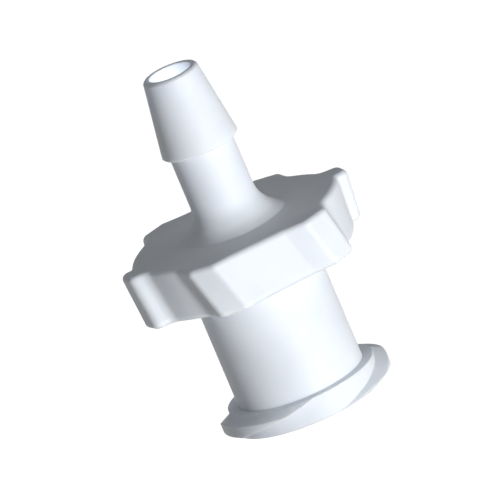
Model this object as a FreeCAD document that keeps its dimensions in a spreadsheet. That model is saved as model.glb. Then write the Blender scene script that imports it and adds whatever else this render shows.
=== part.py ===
import FreeCAD, Part
import Sketcher
import math
import os

# Female luer lock to hose barb adaptor, moulded in one piece.
# Origin at the middle of the socket's mouth, +Z along the bore towards the barb's tip.
# Lengths are in millimetres and angles in degrees.

SIZES = [
    ("total_length", 15.99, "mouth of the socket to the tip of the barb"),
    # tapered socket and the bore behind it
    ("socket_diameter", 4.3, "luer taper at the mouth"),
    ("socket_depth", 7.5, "length of the luer taper"),
    ("socket_taper", 0.06, "loss of diameter per length of the taper"),
    ("shoulder_wall", 1.23, "solid plastic from the end of the taper to the collar's upper face"),
    ("bore_diameter", 1.9, "straight bore through neck and barb"),
    # lock: a low ring round the mouth with two lugs of a double right-hand thread
    ("ring_diameter", 6.7, "ring at the root of the lugs"),
    ("ring_height", 1.1, "ring along the axis"),
    ("lug_diameter", 7.76, "over the crests of the lugs"),
    ("lug_lead", 5.0, "advance of the thread in one turn"),
    ("lug_root_width", 1.2, "lug along the axis, at the ring"),
    ("lug_hub_flank", 28.0, "slope of the flank that faces the hub"),
    ("lug_mouth_flank", 8.0, "slope of the flank that faces the mouth"),
    ("lug_bearing", -2.5, "where the first lug's upper flank meets the ring's top, from +X"),
    ("lug_top_fall", 0.25, "fall of the lug's upper end from ring to crest"),
    ("lug_mouth_rise", 0.33, "rise of the lug's mouth end from ring to crest"),
    # plain hub between lock and grip
    ("hub_diameter", 5.75, "hub between lock and grip"),
    # grip: a twisted collar with two wide pads and two narrow lobes, and curved recesses between them
    ("grip_height", 2.43, "collar along the axis"),
    ("grip_twist", 9.0, "turn of the collar from its upper to its lower face"),
    ("foot_diameter", 9.18, "over the feet of the pads"),
    ("recess_curve", 6.2, "radius of the recess floors' own curve"),
    ("panel_half_angle", 14.7, "flat panel of a pad, from the pad's middle"),
    ("panel_rise", 0.16, "panel's two edges above the feet of the pads"),
    ("ridge_half_angle", 25.0, "ridges beside the panel, from the pad's middle"),
    ("ridge_rise", 0.67, "ridges above the feet of the pads"),
    ("corner_half_angle", 38.7, "outer corners of a pad, from its middle"),
    ("corner_rise", 0.7, "outer corners above the feet of the pads"),
    ("pad_foot_half_angle", 49.5, "feet of a pad, from its middle"),
    ("lobe_bearing", 5.4, "middle of a lobe at the collar's mid height, from +X"),
    ("lobe_half_angle", 7.0, "outer face of a lobe, from its middle"),
    ("lobe_rise", 0.875, "outer face of a lobe above the feet of the pads"),
    ("steep_foot_half_angle", 7.5, "foot of a lobe's steep side, from its middle"),
    ("steep_foot_rise", 0.275, "that foot above the feet of the pads"),
    ("slope_foot_half_angle", 11.0, "foot of a lobe's sloping side, from its middle"),
    ("slope_foot_rise", 0.105, "that foot above the feet of the pads"),
    # neck and barb
    ("flare_width", 0.96, "foot of the neck's flare, beyond the neck's own radius"),
    ("flare_height", 0.385, "flare above the collar, without the fillet over it"),
    ("barb_length", 3.5, "lip of the barb to its tip"),
    ("barb_diameter", 3.49, "over the lip of the barb"),
    ("lip_height", 0.29, "lip of the barb above the neck"),
    ("lip_bevel", 0.06, "bevel on the lip, less than its height"),
    ("tip_wall", 0.305, "wall round the bore at the tip"),
    ("tip_bevel", 0.09, "bevel on the tip's outer rim, less than its wall"),
    # rounded edges
    ("neck_fillet", 1.4, "neck to its flare"),
    ("proud_round", 0.4, "upright edges of pads and lobes"),
    ("pad_foot_round", 1.2, "feet of the pads"),
    ("foot_round", 0.5, "feet of the lobes' sloping sides, and the panels' ends"),
    ("steep_foot_round", 0.15, "feet of the lobes' steep sides"),
    ("rim_round", 0.23, "rims of the collar's two faces, less than proud_round"),
    # hidden overlaps that let the features merge
    ("sink", 0.15, "depth of a lug inside the ring"),
]

doc = FreeCAD.newDocument("luer_fitting")
sheet = doc.addObject("Spreadsheet::Sheet", "Sizes")
for row, (alias, value, note) in enumerate(SIZES, start=1):
    sheet.set(f"A{row}", alias)
    sheet.set(f"B{row}", str(value))
    sheet.set(f"C{row}", note)
    sheet.setAlias(f"B{row}", alias)
doc.recompute()

body = doc.addObject("PartDesign::Body", "luer_fitting")
body.Label = "luer_fitting"
body.Placement = FreeCAD.Placement()

# Places that follow from the sizes.
grip_top = "(Sizes.socket_depth + Sizes.shoulder_wall)"
grip_bottom = "(Sizes.socket_depth + Sizes.shoulder_wall - Sizes.grip_height)"
flare_top = f"({grip_top} + Sizes.flare_height)"
barb_base = "(Sizes.total_length - Sizes.barb_length)"
foot_radius = "(Sizes.foot_diameter / 2)"
neck_radius = "(Sizes.barb_diameter / 2 - Sizes.lip_height)"
tip_radius = "(Sizes.bore_diameter / 2 + Sizes.tip_wall)"


def origin_feature(role):
    """A plane or an axis of the body's own origin."""
    return next(item for item in body.Origin.OriginFeatures if item.Role == role)


def new_sketch(name, role, offset_expressions=()):
    """An empty sketch on an origin plane, with its offset bound to the sheet."""
    sketch = body.newObject("Sketcher::SketchObject", name)
    sketch.AttachmentSupport = [(origin_feature(role), "")]
    sketch.MapMode = "FlatFace"
    for path, expression in offset_expressions:
        sketch.setExpression("AttachmentOffset." + path, expression)
    return sketch


def draw_outline(sketch, corners, arcs=(), curve=None):
    """A closed outline, anticlockwise, through corners given as pairs of sheet expressions.

    Its sides are straight, but for the ones that start at the corners numbered in arcs. Those have
    the radius that the expression curve gives, and bulge outwards.
    """
    count = len(corners)
    points = [
        FreeCAD.Vector(*(float(sketch.evalExpression(term)) for term in corner)) for corner in corners
    ]
    for first, start in enumerate(points):
        end = points[(first + 1) % count]
        if first in arcs:
            chord = end - start
            half = chord.Length / 2
            outward = FreeCAD.Vector(chord.y, -chord.x, 0).normalize()
            bulge = float(sketch.evalExpression(curve))
            bulge -= math.sqrt(bulge ** 2 - half ** 2)
            sketch.addGeometry(Part.Arc(start, start + chord / 2 + outward * bulge, end))
        else:
            sketch.addGeometry(Part.LineSegment(start, end))
    for first in range(count):
        sketch.addConstraint(Sketcher.Constraint("Coincident", first, 2, (first + 1) % count, 1))
    for first, (across, along) in enumerate(corners):
        bind(sketch, "DistanceX", first, across, points[first].x)
        bind(sketch, "DistanceY", first, along, points[first].y)
    for first in arcs:
        index = sketch.addConstraint(Sketcher.Constraint("Radius", first, sketch.Geometry[first].Radius))
        sketch.setExpression(f"Constraints[{index}]", curve)


def bind(sketch, kind, geometry, expression, value):
    """Hold the start of a line at a distance from the sketch's origin."""
    if value == 0:
        axis = -2 if kind == "DistanceX" else -1
        sketch.addConstraint(Sketcher.Constraint("PointOnObject", geometry, 1, axis))
        return
    index = sketch.addConstraint(Sketcher.Constraint(kind, -1, 1, geometry, 1, value))
    sketch.setExpression(f"Constraints[{index}]", expression)


def revolve(kind, name, corners):
    """A revolution or a groove of an outline in the XZ plane, about the Z axis."""
    sketch = new_sketch(name + "_outline", "XZ_Plane")
    draw_outline(sketch, corners)
    feature = body.newObject(kind, name)
    feature.Profile = sketch
    feature.ReferenceAxis = (sketch, ["V_Axis"])
    feature.Angle = 360


def polar(bearing, rise):
    """A corner of the collar as (x, y): its bearing from +X, its rise above the feet of the pads."""
    radius = f"({foot_radius} + {rise})"
    return f"{radius} * cos(({bearing}) * 1deg)", f"{radius} * sin(({bearing}) * 1deg)"


def negated(terms):
    """Sheet expressions with their signs turned."""
    return [f"-({term})" for term in terms]


# Lock: the ring, and on it two lugs cut from a double thread.
revolve("PartDesign::Revolution", "lock_ring", [
    ("0", "0"),
    ("Sizes.ring_diameter / 2", "0"),
    ("Sizes.ring_diameter / 2", "Sizes.ring_height"),
    ("0", "Sizes.ring_height"),
])

# The lug's section starts wholly below the mouth and ends wholly above the ring.
lug_start = "Sizes.lug_bearing - 360 * (Sizes.ring_height + Sizes.sink) / Sizes.lug_lead"
hub_flank = "tan(Sizes.lug_hub_flank * 1deg)"
mouth_flank = "tan(Sizes.lug_mouth_flank * 1deg)"
rise = "(Sizes.lug_diameter / 2 + Sizes.sink - Sizes.ring_diameter / 2)"
lug_foot = "Sizes.ring_diameter / 2 - Sizes.sink"
lug_crest = "Sizes.lug_diameter / 2 + Sizes.sink"
lug_top = "-Sizes.sink"
lug_base = "-Sizes.sink - Sizes.lug_root_width"
lug_section = new_sketch("lug_section", "XZ_Plane", [("Rotation.Angle", lug_start)])
lug_section.AttachmentOffset = FreeCAD.Placement(
    FreeCAD.Vector(), FreeCAD.Rotation(FreeCAD.Vector(0, 1, 0), 1))
draw_outline(lug_section, [
    (lug_foot, f"{lug_top} + Sizes.sink * {hub_flank}"),
    (lug_foot, f"{lug_base} - Sizes.sink * {mouth_flank}"),
    (lug_crest, f"{lug_base} + {rise} * {mouth_flank}"),
    (lug_crest, f"{lug_top} - {rise} * {hub_flank}"),
])
lug = body.newObject("PartDesign::AdditiveHelix", "lug")
lug.Profile = lug_section
lug.ReferenceAxis = (lug_section, ["V_Axis"])
lug.Mode = "pitch-height-angle"
lug.setExpression("Pitch", "Sizes.lug_lead")
lug.setExpression("Height", "Sizes.ring_height + Sizes.lug_root_width + 2 * Sizes.sink")
lug.LeftHanded = False
lugs = body.newObject("PartDesign::PolarPattern", "lugs")
lugs.Originals = [lug]
lugs.Axis = (origin_feature("Z_Axis"), [""])
lugs.Angle = 360
lugs.Occurrences = 2
body.Tip = lugs

inner = "Sizes.ring_diameter / 2 - 2 * Sizes.sink"
outer = "Sizes.lug_diameter / 2 + 2 * Sizes.sink"
above = "Sizes.ring_height + Sizes.lug_root_width + 2 * Sizes.sink"
below = "-Sizes.lug_root_width - 2 * Sizes.sink"
revolve("PartDesign::Groove", "lug_ends", [
    (inner, "0"),
    (inner, below),
    (outer, below),
    (outer, above),
    (inner, above),
    (inner, "Sizes.ring_height"),
    ("Sizes.ring_diameter / 2", "Sizes.ring_height"),
    ("Sizes.lug_diameter / 2", "Sizes.ring_height - Sizes.lug_top_fall"),
    ("Sizes.lug_diameter / 2", "Sizes.lug_mouth_rise"),
    ("Sizes.ring_diameter / 2", "0"),
])

# Hub, neck and barb in one profile.
revolve("PartDesign::Revolution", "stem", [
    ("0", "0"),
    ("Sizes.hub_diameter / 2", "0"),
    ("Sizes.hub_diameter / 2", f"{grip_bottom} + Sizes.grip_height / 2"),
    (f"{neck_radius} + Sizes.flare_width", f"{grip_bottom} + Sizes.grip_height / 2"),
    (f"{neck_radius} + Sizes.flare_width", grip_top),
    (neck_radius, flare_top),
    (neck_radius, barb_base),
    ("Sizes.barb_diameter / 2 - Sizes.lip_bevel", barb_base),
    ("Sizes.barb_diameter / 2", f"{barb_base} + Sizes.lip_bevel"),
    (tip_radius, "Sizes.total_length - Sizes.tip_bevel"),
    (f"{tip_radius} - Sizes.tip_bevel", "Sizes.total_length"),
    ("0", "Sizes.total_length"),
])

# Grip: one outline, lofted between the collar's two faces with a twist. At mid height the pads face
# -Y and +Y. A lobe rises steeply on one side and slopes on the other. Half of the outline, from the
# steep foot of the lobe at +X anticlockwise to the far foot of the pad at +Y:
grip_half = [
    polar("Sizes.lobe_bearing - Sizes.steep_foot_half_angle", "Sizes.steep_foot_rise"),
    polar("Sizes.lobe_bearing - Sizes.lobe_half_angle", "Sizes.lobe_rise"),
    polar("Sizes.lobe_bearing + Sizes.lobe_half_angle", "Sizes.lobe_rise"),
    polar("Sizes.lobe_bearing + Sizes.slope_foot_half_angle", "Sizes.slope_foot_rise"),
    polar("90 - Sizes.pad_foot_half_angle", "0"),
    polar("90 - Sizes.corner_half_angle", "Sizes.corner_rise"),
    polar("90 - Sizes.ridge_half_angle", "Sizes.ridge_rise"),
    polar("90 - Sizes.panel_half_angle", "Sizes.panel_rise"),
    polar("90 + Sizes.panel_half_angle", "Sizes.panel_rise"),
    polar("90 + Sizes.ridge_half_angle", "Sizes.ridge_rise"),
    polar("90 + Sizes.corner_half_angle", "Sizes.corner_rise"),
    polar("90 + Sizes.pad_foot_half_angle", "0"),
]
grip_outline = grip_half + [negated(corner) for corner in grip_half]
recess_floors = (3, 11, 15, 23)
grip_faces = []
for face, height, turn in (
    ("lower", grip_bottom, "Sizes.grip_twist / 2"),
    ("upper", grip_top, "-Sizes.grip_twist / 2"),
):
    sketch = new_sketch(f"grip_{face}", "XY_Plane", [("Base.z", height), ("Rotation.Angle", turn)])
    draw_outline(sketch, grip_outline, recess_floors, "Sizes.recess_curve")
    grip_faces.append(sketch)
grip = body.newObject("PartDesign::AdditiveLoft", "grip")
grip.Profile = grip_faces[0]
grip.Sections = grip_faces[1:]
grip.Ruled = True

# Bore: the luer taper, a flat shoulder and a straight bore to the tip.
socket_end = "Sizes.socket_diameter / 2 - Sizes.socket_taper / 2 * Sizes.socket_depth"
revolve("PartDesign::Groove", "bore", [
    ("0", "0"),
    ("Sizes.socket_diameter / 2", "0"),
    (socket_end, "Sizes.socket_depth"),
    ("Sizes.bore_diameter / 2", "Sizes.socket_depth"),
    ("Sizes.bore_diameter / 2", "Sizes.total_length"),
    ("0", "Sizes.total_length"),
])


def stretch(edge):
    """Least and greatest radius and height of an edge, as (r0, r1, z0, z1)."""
    span = edge.LastParameter - edge.FirstParameter
    points = [edge.valueAt(edge.FirstParameter + span * step / 4) for step in range(5)]
    radii = [math.hypot(point.x, point.y) for point in points]
    heights = [point.z for point in points]
    return min(radii), max(radii), min(heights), max(heights)


def rounded(name, radius, wanted):
    """A fillet on every edge of the body that passes a test of its radii and heights."""
    doc.recompute()
    base = body.Tip
    numbered = enumerate(base.Shape.Edges, start=1)
    edges = [f"Edge{number}" for number, edge in numbered if wanted(*stretch(edge))]
    fillet = body.newObject("PartDesign::Fillet", name)
    fillet.Base = (base, edges)
    fillet.setExpression("Radius", radius)
    return fillet


def size(expression):
    """The present value of a sheet expression."""
    return float(sheet.evalExpression(expression))


def close(value, expression):
    """True where a measured value is the one that the sheet gives."""
    return abs(value - size(expression)) < 0.001


def is_circle(radius, height):
    """A test for the circle of that radius at that height."""
    wanted = (radius, radius, height, height)
    return lambda *found: all(close(value, expression) for value, expression in zip(found, wanted))


def on_collar(r0, z0, z1):
    """True for edges on the collar's outside."""
    inside = size(foot_radius) - 0.05
    return r0 > inside and z0 > size(grip_bottom) - 0.001 and z1 < size(grip_top) + 0.001


def is_upright(*radii):
    """A test for the edges from face to face that start at one of those radii."""
    def wanted(r0, r1, z0, z1):
        tall = z1 - z0 > 0.5 * size("Sizes.grip_height")
        return on_collar(r0, z0, z1) and tall and any(close(r1, radius) for radius in radii)
    return wanted


def is_rim(r0, r1, z0, z1):
    """Edges round the collar's lower and upper faces."""
    return on_collar(r0, z0, z1) and z1 - z0 < 0.001


proud_radii = [f"{foot_radius} + Sizes.{rise}" for rise in ("ridge_rise", "corner_rise", "lobe_rise")]
rounded("grip_proud_edges", "Sizes.proud_round", is_upright(*proud_radii))
foot_radii = [f"{foot_radius} + Sizes.{rise}" for rise in ("slope_foot_rise", "panel_rise")]
rounded("grip_pad_feet", "Sizes.pad_foot_round", is_upright(foot_radius))
rounded("grip_feet", "Sizes.foot_round", is_upright(*foot_radii))
rounded("grip_steep_feet", "Sizes.steep_foot_round", is_upright(f"{foot_radius} + Sizes.steep_foot_rise"))
rounded("grip_rims", "Sizes.rim_round", is_rim)
rounded("neck_root", "Sizes.neck_fillet", is_circle(neck_radius, flare_top))
doc.recompute()

for item in doc.Objects:
    if "Invalid" in item.State or "Error" in item.State:
        raise RuntimeError(f"{item.Name} failed: {item.State}")
if body.Shape.isNull() or not body.Shape.isValid() or len(body.Shape.Solids) != 1:
    raise RuntimeError("the fitting isn't one valid solid")

os.makedirs("parts", exist_ok=True)
body.Shape.exportStep(f"parts/{body.Label}.step")
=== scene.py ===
import math

import bmesh
import bpy
from mathutils import Matrix, Vector

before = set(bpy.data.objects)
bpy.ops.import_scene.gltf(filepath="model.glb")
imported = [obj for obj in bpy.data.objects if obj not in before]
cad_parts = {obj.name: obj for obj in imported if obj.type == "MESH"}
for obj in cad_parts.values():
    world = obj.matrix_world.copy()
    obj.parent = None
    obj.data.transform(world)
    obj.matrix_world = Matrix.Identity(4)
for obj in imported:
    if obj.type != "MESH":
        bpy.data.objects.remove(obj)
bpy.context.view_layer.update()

# ---------------------------------------------------------------------------------------------------
# Fitting. A female luer lock on a hose barb, one injection moulding, taken as natural white
# polypropylene from a finely eroded tool. The lugs, the hub, the twisted grip and the barb come out
# in one piece, and nothing is joined to it, so its one CAD node keeps its own shape.
# ---------------------------------------------------------------------------------------------------


def linear(hex_colour):
    """An sRGB hex colour as linear RGBA."""
    channels = [int(hex_colour[start:start + 2], 16) / 255 for start in (1, 3, 5)]
    return [c / 12.92 if c <= 0.04045 else ((c + 0.055) / 1.055) ** 2.4 for c in channels] + [1.0]


def add_node(tree, kind, settings=(), values=(), links=()):
    """A node of that kind. values sets its inputs, and links feeds them from other nodes' outputs."""
    node = tree.nodes.new(kind)
    for name, setting in dict(settings).items():
        setattr(node, name, setting)
    for socket, value in dict(values).items():
        node.inputs[socket].default_value = value
    for socket, (source, output) in dict(links).items():
        tree.links.new(source.outputs[output], node.inputs[socket])
    return node


# Moulded polypropylene, satin. The eye gets a cool milky white with soft shade lines, because light
# scatters under the skin, a broad weak sheen, and no mirror reflection. Polypropylene has an IOR of
# 1.49. An eroded finish starts from a roughness of about 0.45, which is raised to 0.6, and the
# scattering depth is set to 0.25 mm, both to match this part's flat look.
polypropylene = bpy.data.materials.new("satin_moulded_polypropylene")
polypropylene.use_nodes = True
tree = polypropylene.node_tree
shader = tree.nodes["Principled BSDF"]
shader.inputs["IOR"].default_value = 1.49
shader.inputs["Subsurface Weight"].default_value = 1.0
shader.inputs["Subsurface Radius"].default_value = (1.0, 1.0, 1.0)
shader.inputs["Subsurface Scale"].default_value = 0.00025

place = add_node(tree, "ShaderNodeTexCoord")

# Flow of the melt, taken as cloudy patches about 2.5 mm across, a shade apart.
cloud_width = 0.0025
cloud = add_node(
    tree, "ShaderNodeTexNoise",
    values={"Scale": 1 / cloud_width, "Detail": 2.0, "Roughness": 0.5},
    links={"Vector": (place, "Object")})
whites = add_node(tree, "ShaderNodeValToRGB", links={"Fac": (cloud, "Fac")})
whites.color_ramp.elements[0].position = 0.35
whites.color_ramp.elements[0].color = linear("#E0E5EC")
whites.color_ramp.elements[1].position = 0.65
whites.color_ramp.elements[1].color = linear("#E5EAF0")
tree.links.new(whites.outputs["Color"], shader.inputs["Base Color"])

# Eroded grain: pits taken as about 0.03 mm across, which is too fine to show, are drawn at 0.12 mm.
grain_width = 0.00012
grain = add_node(
    tree, "ShaderNodeTexNoise",
    values={"Scale": 1 / grain_width, "Detail": 2.0, "Roughness": 0.6},
    links={"Vector": (place, "Object")})
sheen = add_node(
    tree, "ShaderNodeMapRange",
    values={"From Min": 0.3, "From Max": 0.7, "To Min": 0.56, "To Max": 0.64},
    links={"Value": (grain, "Fac")})
tree.links.new(sheen.outputs["Result"], shader.inputs["Roughness"])
# The edges that the tool leaves sharp are taken as about 0.05 mm round.
soft_edge = add_node(tree, "ShaderNodeBevel", settings={"samples": 6}, values={"Radius": 0.00005})
pitted = add_node(
    tree, "ShaderNodeBump",
    values={"Strength": 0.35, "Distance": 0.000004},
    links={"Height": (grain, "Fac"), "Normal": (soft_edge, "Normal")})
tree.links.new(pitted.outputs["Normal"], shader.inputs["Normal"])

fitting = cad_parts["luer_fitting"]
fitting.data.materials.clear()
fitting.data.materials.append(polypropylene)

# ---------------------------------------------------------------------------------------------------
# Floor. Matt white paper, lit from below as a light table is, so that it is white to its edges and
# throws no shadow. The fitting stands on its flat mouth at the middle.
# ---------------------------------------------------------------------------------------------------
floor_shape = bmesh.new()
bmesh.ops.create_grid(floor_shape, x_segments=1, y_segments=1, size=1.0)
floor_mesh = bpy.data.meshes.new("floor")
floor_shape.to_mesh(floor_mesh)
floor_shape.free()
floor = bpy.data.objects.new("floor", floor_mesh)
bpy.context.scene.collection.objects.link(floor)

paper = bpy.data.materials.new("matt_white_paper")
paper.use_nodes = True
shader = paper.node_tree.nodes["Principled BSDF"]
shader.inputs["Base Color"].default_value = linear("#959595")
shader.inputs["Roughness"].default_value = 1.0
shader.inputs["Specular IOR Level"].default_value = 0.0
shader.inputs["Emission Color"].default_value = (1.0, 1.0, 1.0, 1.0)
shader.inputs["Emission Strength"].default_value = 1.0
floor_mesh.materials.append(paper)
floor.visible_diffuse = False
floor.visible_shadow = False

# ---------------------------------------------------------------------------------------------------
# Studio light. A low soft box in front, a weaker one behind that keeps the back from going flat, and
# a pale room for the top and the shaded sides. Both boxes stand below the level of the light table
# and shine through its paper, and like the table they throw no shadow.
# ---------------------------------------------------------------------------------------------------


def soft_box(name, bearing, height, power):
    """A lamp 60 mm wide and 20 mm tall, at a bearing, facing the middle of the fitting."""
    distance = 0.3
    fitting_middle = Vector((0, 0, 0.008))
    data = bpy.data.lights.new(name, "AREA")
    data.shape = "RECTANGLE"
    data.size = 0.06
    data.size_y = 0.02
    data.energy = power
    data.use_shadow = False
    lamp = bpy.data.objects.new(name, data)
    angle = math.radians(bearing)
    lamp.location = (distance * math.cos(angle), distance * math.sin(angle), height)
    lamp.rotation_euler = (fitting_middle - lamp.location).to_track_quat("-Z", "Y").to_euler()
    bpy.context.scene.collection.objects.link(lamp)
    return lamp


soft_box("key_light", bearing=-73.5, height=-0.037, power=0.9)
back_light = soft_box("back_light", bearing=78.0, height=-0.0765, power=0.5)
# A reflection of this lamp would lighten the fitting a little as seen from in front.
back_light.visible_glossy = False

room = bpy.data.worlds.new("pale_room")
room.use_nodes = True
walls = room.node_tree.nodes["Background"]
walls.inputs["Color"].default_value = (1.0, 1.0, 1.0, 1.0)
# The walls light the fitting dimly but are seen as white as the paper, so no horizon shows.
ray = add_node(room.node_tree, "ShaderNodeLightPath")
brightness = add_node(
    room.node_tree, "ShaderNodeMapRange",
    values={"To Min": 0.22, "To Max": 1.0},
    links={"Value": (ray, "Is Camera Ray")})
room.node_tree.links.new(brightness.outputs["Result"], walls.inputs["Strength"])
bpy.context.scene.world = room
bpy.context.scene.view_settings.view_transform = "Standard"

# ---------------------------------------------------------------------------------------------------
# Camera. A long lens far from a part 16 mm long shows next to no perspective, so it is orthographic.
# It looks down by about 16 degrees, from a little left of the front pad, and leans so that the barb
# points up to the left.
# ---------------------------------------------------------------------------------------------------
lens = bpy.data.cameras.new("camera")
lens.type = "ORTHO"
lens.ortho_scale = 0.02142
lens.clip_start = 0.001
camera = bpy.data.objects.new("camera", lens)
bpy.context.scene.collection.objects.link(camera)
aim = Vector((0.000196, -0.000042, 0.007304))
distance = 0.2
turn, look_down, lean = (math.radians(angle) for angle in (-12.05, 15.6, -23.0))
camera.matrix_world = (
    Matrix.Translation(aim)
    @ Matrix.Rotation(turn, 4, "Z")
    @ Matrix.Rotation(math.pi / 2 - look_down, 4, "X")
    @ Matrix.Rotation(lean, 4, "Z")
    @ Matrix.Translation((0, 0, distance)))
bpy.context.scene.camera = camera
